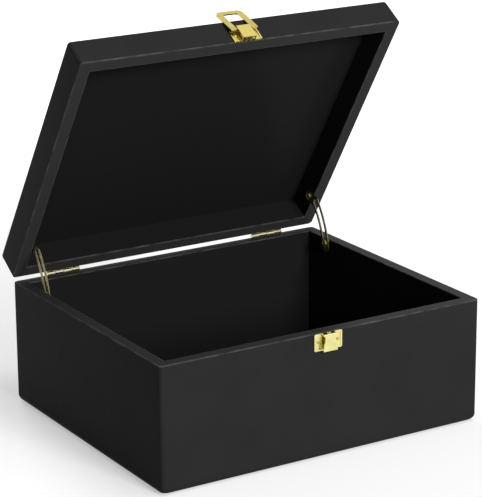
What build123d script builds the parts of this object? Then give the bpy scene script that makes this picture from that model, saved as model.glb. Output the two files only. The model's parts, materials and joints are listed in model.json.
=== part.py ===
# Photo storage box: a painted wooden box with a hinged lid, two curved slotted stays,
# and a folded snap hasp. The lid stands open on its stays.
# Millimetres. +X right along the front, +Y to the back, +Z up.
# Origin: middle of the underside.
from build123d import *
from math import asin, atan2, cos, degrees, hypot, radians, sin, sqrt, tan
import os

os.makedirs("parts", exist_ok=True)

# ---- base box ------------------------------------------------------------------
box_width = 300.0
box_depth = 248.0
base_height = 106.0
base_wall = 10.0
bottom_thickness = 6.0
bottom_margin = 0.2
bottom_round = 5.8
corner_round = 3.2
rim_ease = 0.6

# ---- lid -----------------------------------------------------------------------
lid_height = 25.9
lid_wall = 11.0
top_thickness = 3.2
top_lap = 6.0
top_round = 3.0
rim_gap = 0.6
open_angle = 57.3

# ---- fits ----------------------------------------------------------------------
moving_clearance = 0.3
running_fit = 0.05

# ---- hinges --------------------------------------------------------------------
hinge_inset = 48.0
knuckle_pitch = 7.8
knuckle_count = 4
barrel_radius = 1.9
hinge_pin_radius = 0.8
leaf_thickness = 1.0
leaf_height = 11.0
leaf_corner = 1.2
leaf_screw_inset = 5.5
leaf_screw_drop = 6.6
hinge_screw_radius = 0.9
hinge_screw_length = 8.0
countersink_angle = 45

# ---- stays ---------------------------------------------------------------------
stay_thickness = 1.0
stay_width = 10.0
stay_tip_share = 0.09
slot_play = 0.2
stay_lid_reach = 36.6
stay_lid_rise = 4.8
stay_base_reach = 41.8
stay_base_drop = 4.1
stay_ratio = -0.3
shoulder_radius = 2.3
stay_head_radius = 3.3
stay_head_thickness = 1.5
stay_head_chamfer = 0.7
stay_thread_radius = 1.4
stay_thread_length = 7.0
driver_slot_width = 0.8
driver_slot_depth = 0.6
bush_radius = 4.2
bush_thickness = 1.0

# ---- latch on the lid ------------------------------------------------------------
# Offsets run out of the wood, rises up from the lid's rim and drops down from the base's.
latch_x = 1.3
latch_sheet = 1.4
latch_width = 26.0
latch_height = 12.4
plate_corner = 0.8
wing_recess = 0.6
wing_border = 1.2
wing_land = 0.4
rod_radius = 0.6
rod_offset = 4.2
rod_rise = 11.4
strap_thickness = 2.4
strap_width = 12.4
strap_height = 14.4
strap_foot = 1.0
slot_count = 3
slot_width = 2.7
slot_pitch = 4.35

# ---- loop of the latch -----------------------------------------------------------
loop_sheet = 1.6
loop_width = 25.2
loop_window = 13.7
loop_reach = 27.0
loop_bar = 4.5
loop_heel = 2.0
loop_corner = 5.0
heel_corner = 0.8
window_corner = 1.9
loop_chamfer = 0.25
rod_inset = 0.5

# ---- catch on the base -----------------------------------------------------------
catch_sheet = 1.4
catch_width = 26.0
catch_top_drop = 0.3
catch_foot_drop = 14.6
catch_border = 1.5
catch_recess = 0.5
catch_land = 0.4
hook_sheet = 1.0
hook_offset = 5.1
hook_slope = 0.9
hook_bend = 0.8
hook_top_width = 12.4
neck_width = 9.2
neck_drop = 3.5
lip_width = 13.2
lip_drop = 14.8
rib_width = 3.6
hook_notch_width = 3.4
hook_notch_reach = 3.8

# ---- round-headed pins that hold the latch and the catch -----------------------------
nail_head_radius = 1.4
nail_head_height = 0.9
nail_head_taper = 35
nail_radius = 0.55
nail_length = 7.0
head_sides = 12
shank_sides = 6

# ---- places worked out from the sizes ------------------------------------------------
half_width = box_width / 2
half_depth = box_depth / 2
lid_rim = base_height + rim_gap
hinge_spread = half_width - hinge_inset
axis_offset = barrel_radius + moving_clearance
hinge_y = half_depth + axis_offset
hinge_z = base_height + rim_gap / 2

# The lid swings about the hinge axis from the closed place to the open one.
lid_swing = (
    Location((0, hinge_y, hinge_z))
    * Location((0, 0, 0), (-open_angle, 0, 0))
    * Location((0, -hinge_y, -hinge_z))
)


def on_lid(plane):
    # the same plane after the lid has swung open
    return Plane(lid_swing * plane.location)


def spots(plane, points):
    # copies of a plane, moved within it to each point
    return [Plane(plane.location * Location((x, y, 0))) for x, y in points]


def save(piece, name):
    piece.part.label = name
    export_step(piece.part, f"parts/{name}.step")


base_frame = Plane.XY
lid_frame = on_lid(Plane((0, 0, lid_rim)))
sides = {"left": -1, "right": 1}

# ---- hinge places --------------------------------------------------------------------
# A leaf is drawn with its local Y pointing away from the barrel and its local Z
# out of the wood. The two leaves of a hinge are one stamping, turned round.
knuckle_length = knuckle_pitch - moving_clearance
hinge_length = knuckle_pitch * knuckle_count - moving_clearance
own_knuckles = [knuckle_pitch * (i - (knuckle_count - 1) / 2) for i in range(0, knuckle_count, 2)]
leaf_relief = sqrt(axis_offset**2 - (axis_offset - leaf_thickness) ** 2)
hinge_screw_head = hinge_screw_radius + leaf_thickness * tan(radians(countersink_angle))
leaf_screws = [(side * (hinge_length / 2 - leaf_screw_inset), leaf_screw_drop) for side in (-1, 1)]


def base_leaf_frame(side):
    return Plane((side * hinge_spread, half_depth, hinge_z), x_dir=(1, 0, 0), z_dir=(0, 1, 0))


def lid_leaf_frame(side):
    place = Plane((side * hinge_spread, half_depth, hinge_z), x_dir=(-1, 0, 0), z_dir=(0, 1, 0))
    return on_lid(place)


def leaf_screw_planes(frame):
    return spots(frame.offset(leaf_thickness), leaf_screws)


base_screw_planes = [p for s in sides.values() for p in leaf_screw_planes(base_leaf_frame(s))]
lid_screw_planes = [p for s in sides.values() for p in leaf_screw_planes(lid_leaf_frame(s))]


# ---- stay places ---------------------------------------------------------------------
# Points (y, z) are measured from the hinge axis.
def turned(point, angle):
    y, z = point
    c, s = cos(radians(angle)), sin(radians(angle))
    return (y * c - z * s, y * s + z * c)


base_pivot = (-stay_base_reach, -(stay_base_drop + hinge_z - base_height))
lid_pivot_closed = (-stay_lid_reach, stay_lid_rise + lid_rim - hinge_z)
lid_pivot = turned(lid_pivot_closed, -open_angle)


def pin_in_stay(share):
    # where the base screw stands in the stay once the lid has closed by this share
    swing = share * open_angle
    y, z = turned(base_pivot, -swing)
    y, z = turned((y - lid_pivot[0], z - lid_pivot[1]), -stay_ratio * swing)
    return (lid_pivot[0] + y, lid_pivot[1] + z)


stay_outer = half_width - max(base_wall + bush_thickness, lid_wall) - moving_clearance
stay_inner = stay_outer - stay_thickness
head_seat = stay_inner - moving_clearance


def pivot_plane(side, wood_face, pivot):
    # on the wood's inner face, looking into the box
    origin = (side * wood_face, hinge_y + pivot[0], hinge_z + pivot[1])
    return Plane(origin, x_dir=(0, -side, 0), z_dir=(-side, 0, 0))


base_wood = half_width - base_wall
lid_wood = half_width - lid_wall
stay_base_planes = {name: pivot_plane(s, base_wood, base_pivot) for name, s in sides.items()}
stay_lid_planes = {name: pivot_plane(s, lid_wood, lid_pivot) for name, s in sides.items()}

# ---- latch places --------------------------------------------------------------------
latch_front = on_lid(Plane((latch_x, -half_depth, lid_rim), x_dir=(1, 0, 0), z_dir=(0, -1, 0)))
latch_side = on_lid(Plane((latch_x, -half_depth, lid_rim), x_dir=(0, -1, 0), z_dir=(-1, 0, 0)))
catch_front = Plane((latch_x, -half_depth, base_height), x_dir=(1, 0, 0), z_dir=(0, -1, 0))
catch_side = Plane((latch_x, -half_depth, base_height), x_dir=(0, -1, 0), z_dir=(-1, 0, 0))

# The open loop lies back until it rests on the rounded top edge of the lid.
edge_out = rod_offset + top_round
edge_up = lid_height - top_round - rod_rise
rest_gap = top_round + loop_sheet / 2 + moving_clearance
loop_droop = degrees(atan2(edge_out, edge_up) - asin(rest_gap / hypot(edge_out, edge_up)))

# Latched, its bar stands between the plate of the catch and the lip of the hook.
bar_offset = catch_sheet + moving_clearance + loop_sheet / 2
latched_tilt = degrees(asin((rod_offset - bar_offset) / loop_reach))

wing_inner = strap_width / 2 + wing_land
wing_outer = latch_width / 2 - wing_border
wing_x = (wing_inner + wing_outer) / 2
catch_height = catch_foot_drop - catch_top_drop
catch_middle = (catch_top_drop + catch_foot_drop) / 2
catch_inner = hook_top_width / 2 + catch_land
catch_outer = catch_width / 2 - catch_border
catch_wing_x = (catch_inner + catch_outer) / 2
latch_wings = [(-wing_x, latch_height / 2), (wing_x, latch_height / 2)]
catch_wings = [(-catch_wing_x, -catch_middle), (catch_wing_x, -catch_middle)]
latch_nails = spots(latch_front.offset(latch_sheet - wing_recess), latch_wings)
catch_nails = spots(catch_front.offset(catch_sheet - catch_recess), catch_wings)


# ---- fasteners -----------------------------------------------------------------------
# Each is drawn once, as metal to add or as a hole to cut. There are many of them, so
# small heads have twelve sides and the shanks hidden in the wood have six.
def shanks(planes, radius, depth, mode=Mode.SUBTRACT):
    for plane in planes:
        with BuildSketch(plane) as section:
            RegularPolygon(radius, shank_sides)
        extrude(section.sketch, amount=-depth, mode=mode)


def sunk_heads(planes, mode=Mode.ADD):
    # flat heads, flush with each plane
    for plane in planes:
        with BuildSketch(plane) as head:
            RegularPolygon(hinge_screw_head, head_sides)
        extrude(head.sketch, amount=-leaf_thickness, taper=countersink_angle, mode=mode)


def sunk_screws(planes):
    with BuildPart() as screws:
        sunk_heads(planes)
        shanks(planes, hinge_screw_radius, hinge_screw_length, mode=Mode.ADD)
    return screws


def round_pins(planes):
    # raised heads that sit on each plane
    with BuildPart() as pins:
        for plane in planes:
            with BuildSketch(plane):
                RegularPolygon(nail_head_radius, head_sides)
            extrude(amount=nail_head_height, taper=nail_head_taper)
        shanks(planes, nail_radius, nail_length, mode=Mode.ADD)
    return pins


# ---- woodwork ------------------------------------------------------------------------
def rounded_ring(frame, height, wall, rim_end, far_round, panel_base, panel_size):
    # four walls in one, with a rebate for the panel. The rim is at the low end (0) or
    # the high one (-1) and gets eased edges, and the far end gets a full rounding.
    along_x = Plane(frame.origin, x_dir=frame.y_dir, z_dir=frame.x_dir)
    along_y = Plane(frame.origin, x_dir=frame.x_dir, z_dir=-frame.y_dir)
    up = Axis(frame.origin, frame.z_dir)
    reach = max(box_width, box_depth)
    far_end = -1 - rim_end
    with BuildPart() as ring:
        with BuildSketch(frame):
            RectangleRounded(box_width, box_depth, corner_round)
        extrude(amount=height)
        if far_round < corner_round:
            fillet(ring.faces().sort_by(up)[far_end].edges(), far_round)
        else:
            # rounder than the corners are in plan, so it is cut across both ways
            for across, span in ((along_x, box_depth), (along_y, box_width)):
                with BuildSketch(across) as section:
                    with Locations((0, height / 2)):
                        Rectangle(span, height)
                    fillet(section.vertices().group_by(Axis.Y)[far_end], far_round)
                extrude(amount=reach, both=True, mode=Mode.INTERSECT)
        with BuildSketch(frame):
            Rectangle(box_width - 2 * wall, box_depth - 2 * wall)
        extrude(amount=height, mode=Mode.SUBTRACT)
        chamfer(ring.faces().sort_by(up)[rim_end].edges(), rim_ease)
        with BuildSketch(frame.offset(panel_base)):
            Rectangle(*panel_size[:2])
        extrude(amount=panel_size[2], mode=Mode.SUBTRACT)
    return ring.part


def wall_space(frame, turn, length, depth, wall, height):
    # the space that one wall takes, its ends mitred at 45 degrees
    with BuildPart() as space:
        with BuildSketch(Plane(frame.location * Location((0, 0, 0), (0, 0, turn)))):
            with BuildLine():
                Polyline(
                    (-length / 2, -depth / 2),
                    (length / 2, -depth / 2),
                    (length / 2 - wall, -depth / 2 + wall),
                    (-length / 2 + wall, -depth / 2 + wall),
                    close=True,
                )
            make_face()
        extrude(amount=height)
    return space.part


bottom_inset = bottom_round + bottom_margin
bottom_size = (box_width - 2 * bottom_inset, box_depth - 2 * bottom_inset, bottom_thickness)
top_size = (
    box_width - 2 * (lid_wall - top_lap),
    box_depth - 2 * (lid_wall - top_lap),
    top_thickness,
)
top_base = lid_height - top_thickness
base_ring = rounded_ring(base_frame, base_height, base_wall, -1, bottom_round, 0, bottom_size)
lid_ring = rounded_ring(lid_frame, lid_height, lid_wall, 0, top_round, top_base, top_size)


def base_space(turn, length, depth):
    return wall_space(base_frame, turn, length, depth, base_wall, base_height)


def lid_space(turn, length, depth):
    return wall_space(lid_frame, turn, length, depth, lid_wall, lid_height)


with BuildPart() as base_front_wall:
    add(base_ring)
    add(base_space(0, box_width, box_depth), mode=Mode.INTERSECT)
    shanks(catch_nails, nail_radius, nail_length)
save(base_front_wall, "base_front_wall")

with BuildPart() as base_back_wall:
    add(base_ring)
    add(base_space(180, box_width, box_depth), mode=Mode.INTERSECT)
    shanks(base_screw_planes, hinge_screw_radius, hinge_screw_length)
save(base_back_wall, "base_back_wall")

for name, side in sides.items():
    with BuildPart() as base_side_wall:
        add(base_ring)
        add(base_space(90 * side, box_depth, box_width), mode=Mode.INTERSECT)
        shanks([stay_base_planes[name]], stay_thread_radius, stay_thread_length)
    save(base_side_wall, f"base_{name}_wall")

with BuildPart() as base_bottom_panel:
    with BuildSketch(base_frame):
        Rectangle(*bottom_size[:2])
    extrude(amount=bottom_thickness)
save(base_bottom_panel, "base_bottom_panel")

with BuildPart() as lid_front_rail:
    add(lid_ring)
    add(lid_space(0, box_width, box_depth), mode=Mode.INTERSECT)
    shanks(latch_nails, nail_radius, nail_length)
save(lid_front_rail, "lid_front_rail")

with BuildPart() as lid_back_rail:
    add(lid_ring)
    add(lid_space(180, box_width, box_depth), mode=Mode.INTERSECT)
    shanks(lid_screw_planes, hinge_screw_radius, hinge_screw_length)
save(lid_back_rail, "lid_back_rail")

for name, side in sides.items():
    with BuildPart() as lid_side_rail:
        add(lid_ring)
        add(lid_space(90 * side, box_depth, box_width), mode=Mode.INTERSECT)
        shanks([stay_lid_planes[name]], stay_thread_radius, stay_thread_length)
    save(lid_side_rail, f"lid_{name}_rail")

with BuildPart() as lid_top_panel:
    with BuildSketch(lid_frame.offset(top_base)):
        Rectangle(*top_size[:2])
    extrude(amount=top_thickness)
save(lid_top_panel, "lid_top_panel")


# ---- hinges --------------------------------------------------------------------------
def hinge_leaf(frame):
    # a flat leaf whose own knuckles wrap the pin, with gaps for the other leaf's
    barrel_start = Plane(
        frame.location * Location((0, 0, axis_offset)) * Location((0, 0, 0), (0, 90, 0))
    )
    with BuildPart() as leaf:
        with BuildSketch(frame) as outline:
            with Locations((0, (leaf_relief + leaf_height) / 2)):
                Rectangle(hinge_length, leaf_height - leaf_relief)
            chamfer(outline.vertices().group_by(Axis.Y)[-1], leaf_corner)
            for x in own_knuckles:
                with Locations((x, leaf_relief / 2)):
                    Rectangle(knuckle_length, leaf_relief)
        extrude(amount=leaf_thickness)
        for x in own_knuckles:
            with BuildSketch(barrel_start.offset(x)):
                Circle(barrel_radius)
            extrude(amount=knuckle_length / 2, both=True)
        with BuildSketch(barrel_start):
            Circle(hinge_pin_radius + running_fit)
        extrude(amount=hinge_length, both=True, mode=Mode.SUBTRACT)
        sunk_heads(leaf_screw_planes(frame), mode=Mode.SUBTRACT)
    return leaf


for name, side in sides.items():
    save(hinge_leaf(base_leaf_frame(side)), f"hinge_{name}_base_leaf")
    save(hinge_leaf(lid_leaf_frame(side)), f"hinge_{name}_lid_leaf")
    middle = Plane((side * hinge_spread, hinge_y, hinge_z), x_dir=(0, 1, 0), z_dir=(1, 0, 0))
    with BuildPart() as hinge_pin:
        with BuildSketch(middle):
            Circle(hinge_pin_radius)
        extrude(amount=hinge_length / 2 + moving_clearance, both=True)
    save(hinge_pin, f"hinge_{name}_pin")

save(sunk_screws(base_screw_planes), "hinge_base_screws")
save(sunk_screws(lid_screw_planes), "hinge_lid_screws")


# ---- stays ---------------------------------------------------------------------------
def pivot_screw(plane, shoulder):
    # a shouldered screw with a raised, slotted head
    with BuildPart() as screw:
        shanks([plane], stay_thread_radius, stay_thread_length, mode=Mode.ADD)
        with BuildSketch(plane):
            Circle(shoulder_radius)
        extrude(amount=shoulder)
        with BuildSketch(plane.offset(shoulder)):
            Circle(stay_head_radius)
        extrude(amount=stay_head_thickness)
        crown = Axis(plane.origin, plane.z_dir)
        chamfer(screw.faces().sort_by(crown)[-1].edges(), stay_head_chamfer)
        with BuildSketch(plane.offset(shoulder + stay_head_thickness)):
            Rectangle(2 * stay_head_radius, driver_slot_width)
        extrude(amount=-driver_slot_depth, mode=Mode.SUBTRACT)
    return screw


with BuildLine() as slot_line:
    ThreePointArc(pin_in_stay(0), pin_in_stay(0.5), pin_in_stay(1))
with BuildLine() as strip_line:
    strip_middle = (1 - stay_tip_share) / 2
    ThreePointArc(pin_in_stay(-stay_tip_share), pin_in_stay(strip_middle), pin_in_stay(1))
with BuildSketch() as neck:
    with Locations(lid_pivot, pin_in_stay(1)):
        Circle(stay_width / 2)
    make_hull()

for name, side in sides.items():
    stay_plane = Plane((side * stay_inner, hinge_y, hinge_z), x_dir=(0, 1, 0), z_dir=(1, 0, 0))
    with BuildPart() as stay:
        with BuildSketch(stay_plane):
            SlotArc(strip_line.edge(), stay_width)
            add(neck.sketch)
            SlotArc(slot_line.edge(), 2 * (shoulder_radius + slot_play), mode=Mode.SUBTRACT)
            with Locations(lid_pivot):
                Circle(shoulder_radius + running_fit, mode=Mode.SUBTRACT)
        extrude(amount=side * stay_thickness)
    save(stay, f"stay_{name}")

    base_plane = stay_base_planes[name]
    with BuildPart() as stay_bush:
        with BuildSketch(base_plane):
            Circle(bush_radius)
            Circle(shoulder_radius, mode=Mode.SUBTRACT)
        extrude(amount=base_wood - stay_outer - moving_clearance)
    save(stay_bush, f"stay_{name}_bush")
    save(pivot_screw(base_plane, base_wood - head_seat), f"stay_{name}_base_screw")
    save(pivot_screw(stay_lid_planes[name], lid_wood - head_seat), f"stay_{name}_lid_screw")

# ---- latch ---------------------------------------------------------------------------
strap_back = rod_offset - strap_thickness / 2
strap_front = rod_offset + strap_thickness / 2
strap_shoulder = strap_height - strap_thickness / 2
with BuildPart() as latch_plate:
    with BuildSketch(latch_front) as outline:
        with Locations((0, latch_height / 2)):
            Rectangle(latch_width, latch_height)
        chamfer(outline.vertices(), plate_corner)
    extrude(amount=latch_sheet)
    with BuildSketch(latch_front.offset(latch_sheet)):
        with Locations(*latch_wings):
            Rectangle(wing_outer - wing_inner, latch_height - 2 * wing_border)
    extrude(amount=-wing_recess, mode=Mode.SUBTRACT)
    # the strap comes forward at the foot, then runs up clear of the plate
    with BuildSketch(latch_side):
        with BuildLine():
            Polyline((0, 0), (strap_front, 0), (strap_front, strap_shoulder))
            ThreePointArc(
                (strap_front, strap_shoulder),
                (rod_offset, strap_height),
                (strap_back, strap_shoulder),
            )
            Polyline((strap_back, strap_shoulder), (strap_back, strap_foot), (0, strap_foot), (0, 0))
        make_face()
        with Locations((rod_offset, rod_rise)):
            Circle(rod_radius + running_fit, mode=Mode.SUBTRACT)
    extrude(amount=strap_width / 2, both=True)
    with BuildSketch(latch_front):
        with GridLocations(slot_pitch, 0, slot_count, 1):
            Rectangle(slot_width, 2 * strap_foot)
    extrude(amount=rod_offset, mode=Mode.SUBTRACT)
    shanks(latch_nails, nail_radius, latch_sheet)
save(latch_plate, "latch_plate")

save(round_pins(latch_nails), "latch_pins")

tilt = radians(loop_droop)
loop_frame = on_lid(
    Plane(
        (latch_x, -half_depth - rod_offset, lid_rim + rod_rise),
        x_dir=(1, 0, 0),
        z_dir=(0, -cos(tilt), sin(tilt)),
    )
)
rod_frame = Plane(loop_frame.origin, x_dir=loop_frame.y_dir, z_dir=loop_frame.x_dir)
with BuildPart() as latch_loop:
    with BuildSketch(loop_frame) as outline:
        with Locations((0, (loop_reach - loop_heel) / 2)):
            Rectangle(loop_width, loop_reach + loop_heel)
        fillet(outline.vertices().group_by(Axis.Y)[-1], loop_corner)
        # the window runs out between the heels, where the rod shows
        window_low = -loop_heel - loop_window
        window_high = loop_reach - loop_bar
        with Locations((0, (window_low + window_high) / 2)):
            RectangleRounded(
                loop_window, window_high - window_low, window_corner, mode=Mode.SUBTRACT
            )
        chamfer(outline.vertices().group_by(Axis.Y)[0], heel_corner)
    extrude(amount=loop_sheet / 2, both=True)
    flats = latch_loop.faces().filter_by(Axis(loop_frame.origin, loop_frame.z_dir))
    chamfer(flats.edges(), loop_chamfer)
    with BuildSketch(rod_frame):
        Circle(rod_radius)
    extrude(amount=loop_width / 2 - rod_inset, both=True)
save(latch_loop, "latch_loop")

# ---- catch ---------------------------------------------------------------------------
fold_top = -catch_top_drop - hook_sheet / 2
fold_out = hook_offset - hook_sheet / 2
fold_drop = catch_top_drop + hook_sheet + hook_slope
with BuildPart() as catch_plate:
    # the sheet folds forward at the top and hangs down as the hook
    with BuildSketch(catch_side):
        with BuildLine():
            FilletPolyline(
                (0, fold_top),
                (catch_sheet, fold_top),
                (fold_out, fold_top - hook_slope),
                (fold_out, -lip_drop),
                radius=hook_bend,
            )
        trace(line_width=hook_sheet)
    extrude(amount=lip_width, both=True)
    with BuildSketch(catch_front):
        with BuildLine():
            Polyline(
                (0, 0),
                (hook_top_width / 2, 0),
                (hook_top_width / 2, -fold_drop),
                (neck_width / 2, -neck_drop),
                (lip_width / 2, -lip_drop),
                (0, -lip_drop),
            )
            mirror(about=Plane.YZ)
        make_face()
    extrude(amount=hook_offset, mode=Mode.INTERSECT)
    with BuildSketch(catch_front) as outline:
        with Locations((0, -catch_middle)):
            Rectangle(catch_width, catch_height)
        chamfer(outline.vertices(), plate_corner)
    extrude(amount=catch_sheet)
    with BuildSketch(catch_front.offset(catch_sheet)):
        with Locations(*catch_wings):
            Rectangle(catch_outer - catch_inner, catch_height - 2 * catch_border)
    extrude(amount=-catch_recess, mode=Mode.SUBTRACT)
    with BuildSketch(catch_front):
        notch_x = (rib_width + hook_notch_width) / 2
        with Locations((-notch_x, 0), (notch_x, 0)):
            Rectangle(hook_notch_width, 2 * fold_drop)
    extrude(amount=hook_notch_reach, mode=Mode.SUBTRACT)
    shanks(catch_nails, nail_radius, catch_sheet)
save(catch_plate, "catch_plate")

save(round_pins(catch_nails), "catch_pins")

# ---- joint axes and ranges, for the record -------------------------------------------
loop_range = 180 + loop_droop + latched_tilt
rod_origin = loop_frame.origin
print("lid hinge:", (0, hinge_y, hinge_z), "range", open_angle)
print("stay pivot:", (stay_inner, hinge_y + lid_pivot[0], hinge_z + lid_pivot[1]))
print("stay range:", stay_ratio * open_angle)
print("loop rod:", tuple(rod_origin), "range", loop_range, "droop", loop_droop)
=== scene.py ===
import json
import math

import bmesh
import bpy
import numpy as np
from mathutils import Matrix, Vector


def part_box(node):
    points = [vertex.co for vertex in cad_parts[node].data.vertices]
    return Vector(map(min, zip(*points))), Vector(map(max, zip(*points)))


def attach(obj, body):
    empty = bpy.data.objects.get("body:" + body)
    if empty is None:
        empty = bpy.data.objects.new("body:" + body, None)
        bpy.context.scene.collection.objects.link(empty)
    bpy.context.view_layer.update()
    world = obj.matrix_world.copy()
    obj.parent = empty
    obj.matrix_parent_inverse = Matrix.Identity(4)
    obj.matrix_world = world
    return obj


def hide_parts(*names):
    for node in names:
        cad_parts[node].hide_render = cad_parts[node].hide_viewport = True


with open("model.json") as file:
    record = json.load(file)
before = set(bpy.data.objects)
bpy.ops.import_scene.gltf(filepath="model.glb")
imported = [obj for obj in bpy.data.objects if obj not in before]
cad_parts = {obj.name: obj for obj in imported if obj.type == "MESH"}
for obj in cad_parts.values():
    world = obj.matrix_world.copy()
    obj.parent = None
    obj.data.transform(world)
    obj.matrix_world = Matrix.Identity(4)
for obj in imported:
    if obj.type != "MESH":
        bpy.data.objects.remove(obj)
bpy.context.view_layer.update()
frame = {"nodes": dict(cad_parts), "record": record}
nodes = frame["nodes"]
record = frame["record"]
scene = bpy.context.scene
scene.view_settings.view_transform = "Standard"
mm = 0.001
bodyOf = {node: body for body, members in record["behaviour"]["bodies"].items() for node in members}
slotOf = {part["node"]: part["material_slot"] for part in record["subparts"]}
lidHinge = next(j for j in record["behaviour"]["joints"] if j["name"] == "lid_hinge")
hingeY, hingeZ = lidHinge["pos_m"][1:]
lidAngle = math.radians(lidHinge["range_deg"][1])
print("frame loaded,", len(nodes), "nodes")

# the main view, in metres and degrees, with the lens and its sensor in millimetres
cameraView = {
    "place": (-0.94076, -1.53130, 0.69450),
    "turn": 31.52,  # to the right of straight back
    "dip": 17.09,  # below the horizon
    "roll": 0.36,
    "lens": 165.47,
    "sensor": 36,
    "reach": 30,
}


def placeCamera(view):
    # the camera's axes from its three angles: ahead, level, then both turned by the roll
    turn, dip, roll = (math.radians(view[k]) for k in ("turn", "dip", "roll"))
    ahead = np.array([math.sin(turn) * math.cos(dip), math.cos(turn) * math.cos(dip), -math.sin(dip)])
    level = np.array([math.cos(turn), -math.sin(turn), 0.0])
    below = np.cross(ahead, level)
    right = math.cos(roll) * level + math.sin(roll) * below
    down = -math.sin(roll) * level + math.cos(roll) * below
    data = bpy.data.cameras.new("camera")
    data.lens = view["lens"]
    data.sensor_width = view["sensor"]
    data.clip_end = view["reach"]
    camera = bpy.data.objects.new("camera", data)
    scene.collection.objects.link(camera)
    axes = np.eye(4)
    axes[:3, :3] = np.column_stack([right, -down, -ahead])
    axes[:3, 3] = view["place"]
    camera.matrix_world = Matrix(axes.tolist())
    scene.camera = camera


placeCamera(cameraView)
print("camera placed")


# shader helpers
def newMaterial(name):
    material = bpy.data.materials.new(name)
    material.use_nodes = True
    tree = material.node_tree
    return material, tree, tree.nodes["Principled BSDF"]


def addNode(tree, kind, values=None, **settings):
    node = tree.nodes.new(kind)
    for key, value in settings.items():
        setattr(node, key, value)
    for key, value in (values or {}).items():
        node.inputs[key].default_value = value
    return node


def newGroup(name, inputs, outputs):
    group = bpy.data.node_groups.new(name, "ShaderNodeTree")
    for label, value in inputs.items():
        socket = group.interface.new_socket(label, in_out="INPUT", socket_type="NodeSocketFloat")
        socket.default_value = value
    for label in outputs:
        group.interface.new_socket(label, in_out="OUTPUT", socket_type="NodeSocketFloat")
    return group, group.nodes.new("NodeGroupInput"), group.nodes.new("NodeGroupOutput")


# how many finer layers each noise has, and how much each adds
noiseDetail = {
    "patches": {"Detail": 3.0, "Roughness": 0.55},
    "Ripple": {"Detail": 1.0},
    "Grain": {"Detail": 2.0},
}


def sizedNoise(group, place, size, detail):
    # a noise whose features have the size that a socket gives, in metres
    perMetre = addNode(group, "ShaderNodeMath", {0: 1.0}, operation="DIVIDE")
    group.links.new(size, perMetre.inputs[1])
    noise = addNode(group, "ShaderNodeTexNoise", detail)
    group.links.new(place.outputs["Object"], noise.inputs["Vector"])
    group.links.new(perMetre.outputs[0], noise.inputs["Scale"])
    return noise.outputs["Fac"]


def makeMottleGroup():
    # cloudy patches: contrast * (noise - 0.5) + 0.5, kept within 0..1
    group, start, end = newGroup("mottle", {"Size": 0.03, "Contrast": 1.0}, ["Mask"])
    place = addNode(group, "ShaderNodeTexCoord")
    broad = sizedNoise(group, place, start.outputs["Size"], noiseDetail["patches"])
    centred = addNode(group, "ShaderNodeMath", {1: 0.5}, operation="SUBTRACT")
    group.links.new(broad, centred.inputs[0])
    scaled = addNode(group, "ShaderNodeMath", {2: 0.5}, operation="MULTIPLY_ADD", use_clamp=True)
    group.links.new(centred.outputs[0], scaled.inputs[0])
    group.links.new(start.outputs["Contrast"], scaled.inputs[1])
    group.links.new(scaled.outputs[0], end.inputs["Mask"])
    return group


def makeSkinGroup():
    # the height of a sprayed or plated skin: a fine ripple mixed with a finer grain
    group, start, end = newGroup("skin", {"Ripple": 0.0012, "Grain": 0.0002, "Share": 0.3}, ["Height"])
    place = addNode(group, "ShaderNodeTexCoord")
    layers = {k: sizedNoise(group, place, start.outputs[k], noiseDetail[k]) for k in ("Ripple", "Grain")}
    blend = addNode(group, "ShaderNodeMix", data_type="FLOAT")
    group.links.new(start.outputs["Share"], blend.inputs["Factor"])
    group.links.new(layers["Ripple"], blend.inputs["A"])
    group.links.new(layers["Grain"], blend.inputs["B"])
    group.links.new(blend.outputs["Result"], end.inputs["Height"])
    return group


def makeSideGroup():
    # 1 where a point, measured along Facing, lies beyond Limit
    group, start, end = newGroup("side", {"Limit": 0.0}, ["Mask"])
    group.interface.new_socket("Facing", in_out="INPUT", socket_type="NodeSocketVector")
    place = addNode(group, "ShaderNodeTexCoord")
    reach = addNode(group, "ShaderNodeVectorMath", operation="DOT_PRODUCT")
    group.links.new(place.outputs["Object"], reach.inputs[0])
    group.links.new(start.outputs["Facing"], reach.inputs[1])
    beyond = addNode(group, "ShaderNodeMath", operation="GREATER_THAN")
    group.links.new(reach.outputs["Value"], beyond.inputs[0])
    group.links.new(start.outputs["Limit"], beyond.inputs[1])
    group.links.new(beyond.outputs[0], end.inputs["Mask"])
    return group


mottleGroup = makeMottleGroup()
skinGroup = makeSkinGroup()
sideGroup = makeSideGroup()

# sizes of patches, skin and relief are in metres
lacquerLook = {
    "colour": (0.0175, 0.0175, 0.0179, 1),
    "worn": (0.0205, 0.0202, 0.0199, 1),
    "edge": (0.0700, 0.0690, 0.0670, 1),  # painted highlight along the rounded rims, broken into patches
    "highlightPatches": {"Size": 0.012, "Contrast": 2.2},
    "inside": (0.0110, 0.0110, 0.0113, 1),  # painted shade on the inner faces, darker than the outside
    "rim": (0.0280, 0.0277, 0.0273, 1),  # painted light on the flat rims where lid and base meet
    "roughness": (0.24, 0.31),
    "specular": 0.008,
    "patches": {"Size": 0.045, "Contrast": 2.2},
    "skin": {"Ripple": 0.0014, "Grain": 0.00035, "Share": 0.35},
    "relief": (0.25, 0.00004),
}
goldLook = {
    "colour": (0.70, 0.60, 0.200, 1),
    "worn": (0.47, 0.37, 0.080, 1),
    "roughness": (0.18, 0.32),
    "patches": {"Size": 0.007, "Contrast": 1.8},
    "skin": {"Ripple": 0.0022, "Grain": 0.0004, "Share": 0.5},
    "relief": (0.22, 0.00004),
}
# the catch in a paler copy of the plating: a painted highlight
catchHighlightLook = dict(goldLook, colour=(0.87, 0.82, 0.43, 1), worn=(0.68, 0.60, 0.20, 1))
# the hinges in a paler copy of the plating: a painted highlight
hingeHighlightLook = dict(goldLook, colour=(0.91, 0.86, 0.61, 1), worn=(0.79, 0.71, 0.43, 1))
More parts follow.
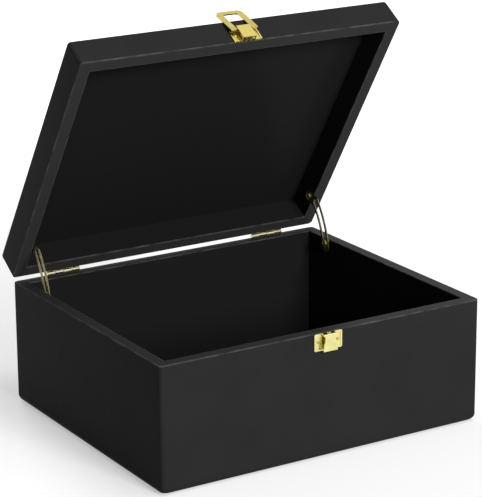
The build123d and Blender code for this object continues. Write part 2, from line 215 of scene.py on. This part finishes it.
# the stays in a darker copy of the plating: painted shade
stayShadeLook = dict(
    goldLook, colour=(0.34, 0.31, 0.18, 1), worn=(0.15, 0.12, 0.06, 1), roughness=(0.30, 0.45)
)
screwLook = dict(goldLook, colour=(0.64, 0.55, 0.19, 1), roughness=(0.36, 0.48))


def makeFinish(name, look):
    # a skin over patches that change its colour and gloss
    material, tree, shader = newMaterial(name)
    patches = addNode(tree, "ShaderNodeGroup", look["patches"], node_tree=mottleGroup)
    tint = addNode(tree, "ShaderNodeMix", data_type="RGBA")
    tint.inputs[6].default_value = look["colour"]
    tint.inputs[7].default_value = look["worn"]
    tree.links.new(patches.outputs["Mask"], tint.inputs[0])
    tree.links.new(tint.outputs[2], shader.inputs["Base Color"])
    gloss = addNode(tree, "ShaderNodeMapRange")
    gloss.inputs["To Min"].default_value, gloss.inputs["To Max"].default_value = look["roughness"]
    tree.links.new(patches.outputs["Mask"], gloss.inputs["Value"])
    tree.links.new(gloss.outputs["Result"], shader.inputs["Roughness"])
    skin = addNode(tree, "ShaderNodeGroup", look["skin"], node_tree=skinGroup)
    strength, height = look["relief"]
    relief = addNode(tree, "ShaderNodeBump", {"Strength": strength, "Distance": height})
    tree.links.new(skin.outputs["Height"], relief.inputs["Height"])
    tree.links.new(relief.outputs["Normal"], shader.inputs["Normal"])
    return material, tree, shader


def makeLacquer(name, look, facing=None, limit=0):
    # attributes of the piece tell its rims, which get painted light, and their edges, which
    # get a painted highlight; the painted shade inside is told by one too, or on a panel by
    # the side of a plane that a point lies on
    material, tree, shader = makeFinish(name, look)
    shader.inputs["Specular IOR Level"].default_value = look["specular"]
    if facing:
        side = {"Facing": facing, "Limit": limit}
        paintedShadeMask = addNode(tree, "ShaderNodeGroup", side, node_tree=sideGroup).outputs["Mask"]
    else:
        paintedShadeMask = addNode(tree, "ShaderNodeAttribute", attribute_name="inside").outputs["Fac"]
    rim = addNode(tree, "ShaderNodeAttribute", attribute_name="rim")
    edge = addNode(tree, "ShaderNodeAttribute", attribute_name="edge")
    paintedHighlightBand = addNode(tree, "ShaderNodeGroup", look["highlightPatches"], node_tree=mottleGroup)
    # the rims' rounded edges get a painted highlight, broken into patches
    paintedHighlightMask = addNode(tree, "ShaderNodeMath", operation="MULTIPLY")
    tree.links.new(edge.outputs["Fac"], paintedHighlightMask.inputs[0])
    tree.links.new(paintedHighlightBand.outputs["Mask"], paintedHighlightMask.inputs[1])
    below = shader.inputs["Base Color"].links[0].from_socket
    # painted shade inside, painted light on the flat rims and a painted highlight on the edges, each
    # mixed over the colour below
    masks = {"inside": paintedShadeMask, "rim": rim.outputs["Fac"], "edge": paintedHighlightMask.outputs[0]}
    for part, mask in masks.items():
        overlay = addNode(tree, "ShaderNodeMix", data_type="RGBA")
        overlay.inputs[7].default_value = look[part]
        tree.links.new(mask, overlay.inputs[0])
        tree.links.new(below, overlay.inputs[6])
        below = overlay.outputs[2]
    tree.links.new(below, shader.inputs["Base Color"])
    return material


def makePlate(name, look):
    material, _, shader = makeFinish(name, look)
    shader.inputs["Metallic"].default_value = 1
    return material


finishes = {
    "painted_wood": makeLacquer("black_lacquer", lacquerLook),
    "gold_plate": makePlate("yellow_plate", goldLook),
    "gold_screws": makePlate("yellow_screws", screwLook),
}
# the catch's paler plating is a painted highlight
catchHighlightBrass = makePlate("catch_painted_highlight_brass", catchHighlightLook)
# the hinges' paler plating is a painted highlight
hingeHighlightBrass = makePlate("hinge_painted_highlight_brass", hingeHighlightLook)
# the stays' darker plating is painted shade
stayShadeBrass = makePlate("stay_painted_shade_brass", stayShadeLook)
for name, node in nodes.items():
    node.data.materials.clear()
    node.data.materials.append(finishes[slotOf[name]])


def shadePanelInside(node, name, inward):
    # the painted shade inside covers what lies inward of the middle of the panel
    low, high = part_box(node)
    middle = [(a + b) / 2 for a, b in zip(low, high)]
    limit = sum(a * b for a, b in zip(inward, middle))
    nodes[node].data.materials[0] = makeLacquer(name, lacquerLook, inward, limit)


shadePanelInside("lid_top_panel", "lid_panel_lacquer", (0, -math.sin(lidAngle), -math.cos(lidAngle)))
shadePanelInside("base_bottom_panel", "base_panel_lacquer", (0, 0, 1))
print("finishes made")

# shared by all meshes: lengths in metres, angles in degrees
meshLook = {"weld": 1e-7, "cadWeld": 2e-7, "flat": 0.5, "sharp": 35, "bevelSegments": 2}


# mesh helpers
def turnLid(points, angle):
    # turned about the hinge line, which lies along x: the top goes back as angle grows
    y, z = points[..., 1] - hingeY, points[..., 2] - hingeZ
    c, s = math.cos(angle), math.sin(angle)
    return np.stack([points[..., 0], hingeY + y * c + z * s, hingeZ - y * s + z * c], -1)


def openLid(points):
    return turnLid(points, lidAngle)


def closeLid(points):
    return turnLid(points, -lidAngle)


def nodeCorners(name, back=None):
    # the lowest and highest corners of a CAD node, on the closed lid where back is closeLid
    mesh = nodes[name].data
    flat = np.empty(len(mesh.vertices) * 3)
    mesh.vertices.foreach_get("co", flat)
    points = flat.reshape(-1, 3)
    points = back(points) if back else points
    return points.min(0), points.max(0)


def gridFaces(rows, columns, wrapRows=False):
    # each face joins a grid point to its next neighbours along both parameters
    i = np.arange(rows if wrapRows else rows - 1)[:, None]
    j = np.arange(columns - 1)[None, :]
    below = (i + 1) % rows
    corners = [i * columns + j, i * columns + j + 1, below * columns + j + 1, below * columns + j]
    return np.stack(np.broadcast_arrays(*corners), -1).reshape(-1, 4)


def smoothPiece(mesh, name):
    mesh.shade_smooth()
    mesh.set_sharp_from_angle(angle=math.radians(meshLook["sharp"]))
    piece = bpy.data.objects.new(name, mesh)
    scene.collection.objects.link(piece)
    return piece


def buildPiece(name, points, faces, caps=(), marks=None):
    mesh = bpy.data.meshes.new(name)
    mesh.from_pydata(points.reshape(-1, 3).tolist(), [], faces.tolist() + [list(c) for c in caps])
    for label, values in (marks or {}).items():
        mesh.attributes.new(label, "FLOAT", "POINT").data.foreach_set("value", values.ravel())
    shape = bmesh.new()
    shape.from_mesh(mesh)
    bmesh.ops.remove_doubles(shape, verts=shape.verts, dist=meshLook["weld"])
    bmesh.ops.dissolve_degenerate(shape, edges=shape.edges, dist=meshLook["weld"])
    bmesh.ops.recalc_face_normals(shape, faces=shape.faces)
    shape.to_mesh(mesh)
    shape.free()
    return smoothPiece(mesh, name)


def standFor(piece, node, finish=None):
    piece.data.materials.append(finish or finishes[slotOf[node]])
    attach(piece, bodyOf[node])
    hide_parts(node)


# lacquered boards of the base and the lid, in millimetres
boardLook = {
    "width": 300.0,
    "depth": 248.0,
    "corner": 3.2,
    "innerCorner": 0.5,
    "ease": 0.7,
    "paintedHighlightBand": 0.5,  # how far the painted highlight reaches past a rim's rounding
    "shadeTurn": 0.8,  # where on the inner rounding the painted inside shade ends, in radians
    "cornerSegments": 8,
    "roundSegments": 10,
    "base": {"height": 106.0, "wall": 10.0, "foot": 5.8, "swell": 0.6, "panelEdge": 6.0, "panelTop": 6.0},
    "lid": {"height": 25.9, "wall": 11.0, "top": 3.0, "panelEdge": 5.0, "panel": 3.2, "gap": 0.6},
}


def sectionRows(inset, rise, corner, edge=0, inside=0):
    # one row for each point of a section: its inset from the outer face, its rise, the
    # radius of the corner there, and the marks for the painted highlight on the edges and the
    # painted shade inside
    return np.column_stack(np.broadcast_arrays(*np.atleast_1d(inset, rise, corner, edge, inside)))


def baseSection(look):
    b, e, far = look["base"], look["ease"], look["paintedHighlightBand"]
    outer, inner = look["corner"], look["innerCorner"]
    t = np.linspace(0, math.pi / 2, look["roundSegments"] + 1)
    top, wall = b["height"], b["wall"]
    foot = b["foot"] * (1 - np.sin(t))
    return np.vstack([
        sectionRows(foot, b["foot"] * (1 - np.cos(t)), outer + b["swell"] * foot),
        sectionRows(0, top - e - far, outer),
        sectionRows(e * (1 - np.cos(t)), top - e + e * np.sin(t), outer, 1),
        sectionRows(e + far, top, outer - far),
        sectionRows(wall - e - far, top, inner + far),
        sectionRows(wall - e + e * np.sin(t), top - e + e * np.cos(t), inner, 1, t > look["shadeTurn"]),
        sectionRows(wall, [top - e - far, b["panelTop"]], inner, 0, 1),
        sectionRows(b["panelEdge"], [b["panelTop"], 0], inner, 0, [1, 0]),
    ])


def lidSection(look):
    # the rise is measured from the rim of the closed lid
    d, e, far = look["lid"], look["ease"], look["paintedHighlightBand"]
    outer, inner = look["corner"], look["innerCorner"]
    t = np.linspace(0, math.pi / 2, look["roundSegments"] + 1)
    wall, under = d["wall"], d["height"] - d["panel"]
    inset = d["top"] * (1 - np.cos(t))
    return np.vstack([
        sectionRows(wall - e - far, 0, inner + far),
        sectionRows(e + far, 0, outer - far),
        sectionRows(e * (1 - np.sin(t)), e * (1 - np.cos(t)), outer, 1),
        sectionRows(0, e + far, outer),
        sectionRows(inset, d["height"] - d["top"] + d["top"] * np.sin(t), outer - inset),
        sectionRows(d["panelEdge"], [d["height"], under], inner, 0, [0, 1]),
        sectionRows(wall, [under, e + far], inner, 0, 1),
        sectionRows(wall - e + e * np.cos(t), e - e * np.sin(t), inner, 1, t < look["shadeTurn"]),
    ])


def sweepBoard(section, quarterTurns, look, rim):
    # The section is carried along one side of a rounded rectangle, from the middle of
    # one corner to the middle of the next: place = centre of corner + radius * (cos, sin).
    # The flat rim is where the section's rise is that of the rim.
    along, across = look["width"], look["depth"]
    if quarterTurns % 2:
        along, across = across, along
    a = np.radians(np.linspace(225, 270, look["cornerSegments"] + 1))
    b = np.radians(np.linspace(270, 315, look["cornerSegments"] + 1))
    inset, rise, radius, edge, inside = (section[:, i : i + 1] for i in range(5))
    alongCentre, acrossCentre = along / 2 - inset - radius, across / 2 - inset - radius
    x = np.hstack([radius * np.cos(a) - alongCentre, radius * np.cos(b) + alongCentre])
    y = np.hstack([radius * np.sin(a), radius * np.sin(b)]) - acrossCentre
    turn = math.radians(90 * quarterTurns)
    c, s = math.cos(turn), math.sin(turn)
    points = np.stack([x * c - y * s, x * s + y * c, np.broadcast_to(rise, x.shape)], -1)
    rows, columns = x.shape
    marks = {"edge": edge, "inside": inside, "rim": np.isclose(rise, rim).astype(float)}
    marks = {label: np.repeat(mark, columns, 1) for label, mark in marks.items()}
    ends = [np.arange(rows) * columns, np.arange(rows)[::-1] * columns + columns - 1]
    return points * mm, gridFaces(rows, columns, wrapRows=True), ends, marks


baseRim = boardLook["base"]["height"]
lidRim = baseRim + boardLook["lid"]["gap"]
for turns, side in enumerate(("front", "right", "back", "left")):
    points, faces, ends, marks = sweepBoard(baseSection(boardLook), turns, boardLook, baseRim)
    standFor(buildPiece(f"base_{side}_board", points, faces, ends, marks), f"base_{side}_wall")
    points, faces, ends, marks = sweepBoard(lidSection(boardLook), turns, boardLook, 0)
    points[..., 2] += lidRim * mm
    standFor(buildPiece(f"lid_{side}_board", openLid(points), faces, ends, marks), f"lid_{side}_rail")
print("boards made")

# stamped and bent metal keeps the CAD's shape: the width of its softened edges, in
# millimetres, and its finish
softEdges = {
    "hinge_left_base_leaf": (0.12, hingeHighlightBrass),
    "hinge_right_base_leaf": (0.12, hingeHighlightBrass),
    "hinge_left_lid_leaf": (0.12, hingeHighlightBrass),
    "hinge_right_lid_leaf": (0.12, hingeHighlightBrass),
    "hinge_left_pin": (0.20, hingeHighlightBrass),
    "hinge_right_pin": (0.20, hingeHighlightBrass),
    "stay_left": (0.18, stayShadeBrass),
    "stay_right": (0.18, stayShadeBrass),
    "stay_left_bush": (0.15, finishes["gold_plate"]),
    "stay_right_bush": (0.15, finishes["gold_plate"]),
    "latch_plate": (0.16, finishes["gold_plate"]),
    "latch_loop": (0.25, finishes["gold_plate"]),
    "catch_plate": (0.16, catchHighlightBrass),
}


def softenedCopy(node, width, finish):
    mesh = nodes[node].data.copy()
    mesh.name = f"{node}_metal"
    mesh.materials.clear()
    shape = bmesh.new()
    shape.from_mesh(mesh)
    bmesh.ops.remove_doubles(shape, verts=shape.verts, dist=meshLook["cadWeld"])
    flat = math.radians(meshLook["flat"])
    bmesh.ops.dissolve_limit(
        shape, angle_limit=flat, verts=shape.verts, edges=shape.edges, delimit={"NORMAL"}
    )
    shape.to_mesh(mesh)
    shape.free()
    piece = smoothPiece(mesh, mesh.name)
    bevel = piece.modifiers.new("soft edges", "BEVEL")
    bevel.width = width * mm
    bevel.segments = meshLook["bevelSegments"]
    bevel.limit_method = "ANGLE"
    bevel.angle_limit = math.radians(meshLook["sharp"])
    shading = piece.modifiers.new("flat faces", "WEIGHTED_NORMAL")
    shading.weight = 100
    shading.keep_sharp = True
    standFor(piece, node, finish)


for node, (width, finish) in softEdges.items():
    softenedCopy(node, width, finish)
print("metal softened")

# screws and pins, in millimetres: a head, its recess and the part below it
fastenerLook = {
    "nail": {"radius": 1.4, "height": 0.9, "dome": 0.9, "shank": 0.55, "length": 3.0, "recess": None},
    "hingeScrew": {
        "radius": 1.9,
        "height": 1.0,
        "dome": 0.12,
        "shank": 0.9,
        "length": 4.0,
        "recess": {"arms": 2, "width": 0.42, "span": 2.3, "depth": 0.55},
    },
    "stayScrew": {
        "radius": 3.3,
        "height": 1.5,
        "dome": 1.1,
        "shank": 2.3,
        "length": 4.0,
        "recess": {"arms": 1, "width": 0.75, "span": 5.2, "depth": 0.7},
    },
    "recessEdge": 0.14,
    "rings": 34,
    "spokes": 72,
}


def recessDepth(recess, edge, x, y):
    # depth * smoothstep(0.5 - distance / edge), with the distance to the nearest arm
    arms = [(x, y), (y, x)][: recess["arms"]]
    halfSpan, halfWidth = recess["span"] / 2, recess["width"] / 2
    reach = [np.maximum(np.abs(u) - halfSpan, np.abs(v) - halfWidth) for u, v in arms]
    step = np.clip(0.5 - np.minimum.reduce(reach) / edge, 0, 1)
    return recess["depth"] * step * step * (3 - 2 * step)


def fastenerSurface(kind):
    # Height over a disc: dome * sqrt(1 - (r / R)^2) - depth of the recess. Below the rim of
    # the head come its flat underside and a shank.
    look = fastenerLook[kind]
    angle = np.linspace(0, 2 * math.pi, fastenerLook["spokes"] + 1)[None, :]
    share = np.sin(np.linspace(0, math.pi / 2, fastenerLook["rings"]))[:, None]
    radius = look["radius"] * share
    x, y = radius * np.cos(angle), radius * np.sin(angle)
    rise = look["dome"] * np.sqrt(np.clip(1 - share**2, 0, 1)) * np.ones_like(x)
    if look["recess"]:
        rise = rise - recessDepth(look["recess"], fastenerLook["recessEdge"], x, y)
    foot = look["dome"] - look["height"]
    belowRadius = np.array([[look["radius"]], [look["shank"]], [look["shank"]], [0]])
    belowRise = np.array([[foot], [foot], [-look["length"]], [-look["length"]]])
    grid = np.stack([
        np.vstack([x, belowRadius * np.cos(angle)]),
        np.vstack([y, belowRadius * np.sin(angle)]),
        np.vstack([rise, belowRise * np.ones_like(angle)]),
    ], -1)
    return grid, gridFaces(grid.shape[0], grid.shape[1])


def fastenerSet(name, node, kind, places, outward, swing=None):
    # copies of one surface, with z turned to point outward and each moved to its place
    grid, faces = fastenerSurface(kind)
    out = np.array(outward, float)
    sideways = np.cross([1.0, 0, 0] if abs(out[0]) < abs(out[1]) else [0, 1.0, 0], out)
    axes = np.array([np.cross(sideways, out), sideways, out])
    local = grid.reshape(-1, 3) @ axes * mm
    points = np.concatenate([local + place for place in places])
    points = swing(points) if swing else points
    allFaces = np.concatenate([faces + i * len(local) for i in range(len(places))])
    standFor(buildPiece(name, points, allFaces), node)


def nailPlaces(node, back=None):
    # heads stand on the plate, one half of a head in from each end of the pair
    look = fastenerLook["nail"]
    low, high = nodeCorners(node, back)
    middle = (low[2] + high[2]) / 2
    seat = low[1] + look["height"] * mm
    half = look["radius"] * mm
    return [np.array([x, seat, middle]) for x in (low[0] + half, high[0] - half)]


# screws of the hinge leaves, in millimetres: how far each hinge lies from the middle, how
# far its screws lie from its own middle and from the hinge line, and the leaf's outer face
hingeScrews = {"spread": 102.0, "apart": 9.95, "drop": 6.6, "face": 125.0}


def hingeScrewPlaces(look, upward):
    spots = [s * look["spread"] + t * look["apart"] for s in (-1, 1) for t in (-1, 1)]
    return [np.array([x, look["face"], hingeZ / mm + upward * look["drop"]]) * mm for x in spots]


def studPlace(node, sign):
    # the middle of the head's rim, a dome's height below its crown, which faces inward
    low, high = nodeCorners(node)
    crown = high[0] if sign < 0 else low[0]
    rim = crown + sign * fastenerLook["stayScrew"]["dome"] * mm
    return np.array([rim, (low[1] + high[1]) / 2, (low[2] + high[2]) / 2])


front, back = (0, -1, 0), (0, 1, 0)
baseSpots, lidSpots = (hingeScrewPlaces(hingeScrews, upward) for upward in (-1, 1))
fastenerSet("catch_nails", "catch_pins", "nail", nailPlaces("catch_pins"), front)
fastenerSet("latch_nails", "latch_pins", "nail", nailPlaces("latch_pins", closeLid), front, openLid)
fastenerSet("base_leaf_screws", "hinge_base_screws", "hingeScrew", baseSpots, back)
fastenerSet("lid_leaf_screws", "hinge_lid_screws", "hingeScrew", lidSpots, back, openLid)
for side, sign in (("left", -1), ("right", 1)):
    for end in ("base", "lid"):
        node = f"stay_{side}_{end}_screw"
        fastenerSet(f"stay_{side}_{end}_stud", node, "stayScrew", [studPlace(node, sign)], (-sign, 0, 0))
print("fasteners made")

# Plain pale studio, in metres and watts. The floor glows by itself, as seen by the camera,
# from lift[0] under the part to lift[1] beyond the ramp. Only lamps with glints are mirrored.
floorLook = {
    "size": 6.0,
    "colour": (0.52, 0.52, 0.52, 1),
    "roughness": 0.9,
    "lift": (0.43, 0.93),
    "ramp": (0.16, 1.35),
}
worldLook = {"soft": 0.17, "seen": 1.0}
lampAim = (0, 0, 0.1)
lamps = {
    "key": {"place": (0.15, -3.0, 1.35), "size": 1.0, "power": 118, "glints": False},
    "top": {"place": (0.45, -0.4, 2.0), "size": 1.0, "power": 16, "glints": True},
    "back": {"place": (0.2, 2.2, 1.4), "size": 1.2, "power": 30, "glints": True},
}


def seenDirectly(tree):
    # 1 for what the camera sees, straight or in a reflection or through glass
    path = addNode(tree, "ShaderNodeLightPath")
    first = addNode(tree, "ShaderNodeMath", operation="MAXIMUM")
    second = addNode(tree, "ShaderNodeMath", operation="MAXIMUM")
    tree.links.new(path.outputs["Is Camera Ray"], first.inputs[0])
    tree.links.new(path.outputs["Is Glossy Ray"], first.inputs[1])
    tree.links.new(first.outputs[0], second.inputs[0])
    tree.links.new(path.outputs["Is Transmission Ray"], second.inputs[1])
    return second.outputs[0]


def makeFloor(look):
    size = look["size"]
    corners = [(-size, -size, 0), (size, -size, 0), (size, size, 0), (-size, size, 0)]
    mesh = bpy.data.meshes.new("floor")
    mesh.from_pydata(corners, [], [(0, 1, 2, 3)])
    floor = bpy.data.objects.new("floor", mesh)
    scene.collection.objects.link(floor)
    material, tree, shader = newMaterial("floor_white")
    shader.inputs["Base Color"].default_value = look["colour"]
    shader.inputs["Roughness"].default_value = look["roughness"]
    shader.inputs["Specular IOR Level"].default_value = 0.0
    shader.inputs["Emission Color"].default_value = (1, 1, 1, 1)
    place = addNode(tree, "ShaderNodeTexCoord")
    away = addNode(tree, "ShaderNodeVectorMath", operation="LENGTH")
    tree.links.new(place.outputs["Object"], away.inputs[0])
    glow = addNode(tree, "ShaderNodeMapRange", interpolation_type="SMOOTHSTEP")
    glow.inputs["From Min"].default_value, glow.inputs["From Max"].default_value = look["ramp"]
    glow.inputs["To Min"].default_value, glow.inputs["To Max"].default_value = look["lift"]
    tree.links.new(away.outputs["Value"], glow.inputs["Value"])
    lift = addNode(tree, "ShaderNodeMath", operation="MULTIPLY")
    tree.links.new(glow.outputs["Result"], lift.inputs[0])
    tree.links.new(seenDirectly(tree), lift.inputs[1])
    tree.links.new(lift.outputs[0], shader.inputs["Emission Strength"])
    floor.data.materials.append(material)


def makeWorld(look):
    world = bpy.data.worlds.new("studio")
    scene.world = world
    world.use_nodes = True
    tree = world.node_tree
    tree.nodes.clear()
    strength = addNode(tree, "ShaderNodeMapRange", {"To Min": look["soft"], "To Max": look["seen"]})
    tree.links.new(seenDirectly(tree), strength.inputs["Value"])
    background = addNode(tree, "ShaderNodeBackground", {"Color": (1, 1, 1, 1)})
    tree.links.new(strength.outputs["Result"], background.inputs["Strength"])
    output = addNode(tree, "ShaderNodeOutputWorld")
    tree.links.new(background.outputs[0], output.inputs["Surface"])


def makeLamp(name, lamp):
    data = bpy.data.lights.new(name, "AREA")
    data.shape = "SQUARE"
    data.size = lamp["size"]
    data.energy = lamp["power"]
    holder = bpy.data.objects.new(name, data)
    scene.collection.objects.link(holder)
    holder.visible_glossy = lamp["glints"]
    away = Vector(lamp["place"]) - Vector(lampAim)
    turn = away.to_track_quat("Z", "Y").to_matrix().to_4x4()
    holder.matrix_world = Matrix.Translation(lamp["place"]) @ turn


makeFloor(floorLook)
makeWorld(worldLook)
for name, lamp in lamps.items():
    makeLamp(name, lamp)
print("studio lit")
